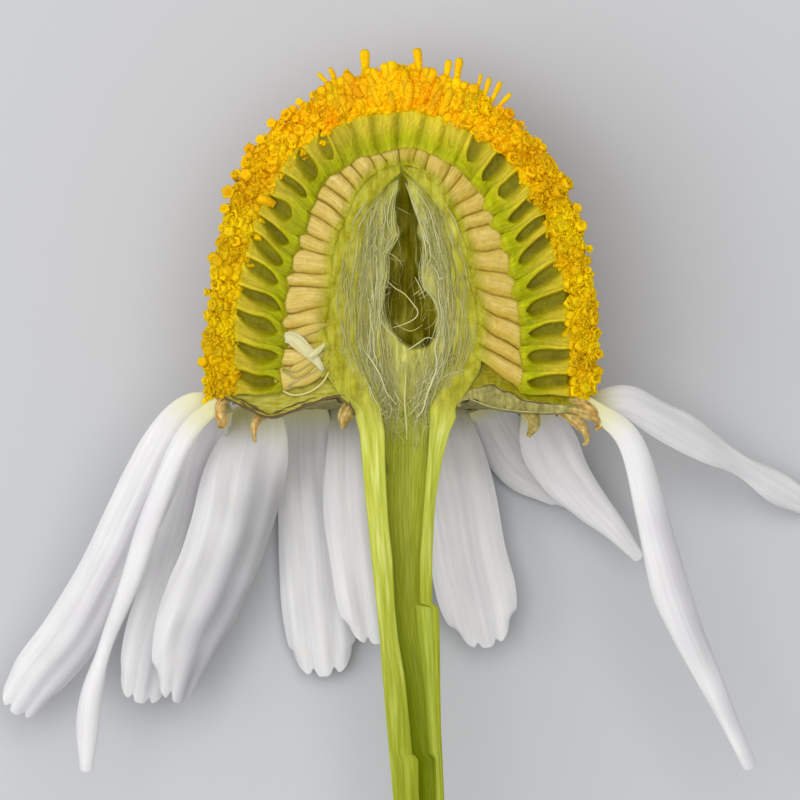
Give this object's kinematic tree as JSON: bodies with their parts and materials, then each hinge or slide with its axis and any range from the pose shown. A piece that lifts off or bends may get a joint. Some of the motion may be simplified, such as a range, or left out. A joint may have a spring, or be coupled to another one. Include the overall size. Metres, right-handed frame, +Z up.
{
  "type": "halved chamomile flower head on a cut stalk",
  "caption": "Half of a chamomile flower head cut lengthways, lying cut face up: pithy hollow, ovaries, green tubes, yellow florets, white rays and split stalk.",
  "frame": {"origin": "middle of the flat spot on the head's round back that it lies on", "axes": "+Z up, out of the cut face; +Y from the stalk to the tip of the head; +X to the right of the cut face seen from above"},
  "size_m": [0.0165, 0.0164, 0.0042],
  "materials": {
    "stem_green": "moist cut plant tissue, satin",
    "pith_grey": "silvery fibrous pith",
    "ovary_cream": "waxy cream, satin",
    "tube_green": "moist yellow-green, satin",
    "floret_yellow": "matt, grainy with pollen",
    "bract_green": "dry olive green with brown tips",
    "petal_white": "soft matt petal"
  },
  "bodies": {
    "root": {"stem_and_receptacle": "stem_green", "pith": "pith_grey", "ovaries": "ovary_cream", "corolla_tubes": "tube_green", "floret_tops": "floret_yellow", "involucre": "bract_green", "ray_floret_01": "petal_white", "ray_floret_02": "petal_white", "ray_floret_03": "petal_white", "ray_floret_04": "petal_white", "ray_floret_05": "petal_white", "ray_floret_06": "petal_white", "ray_floret_07": "petal_white", "ray_floret_08": "petal_white", "ray_floret_09": "petal_white", "ray_floret_10": "petal_white", "ray_floret_11": "petal_white"}
  },
  "joints": []
}
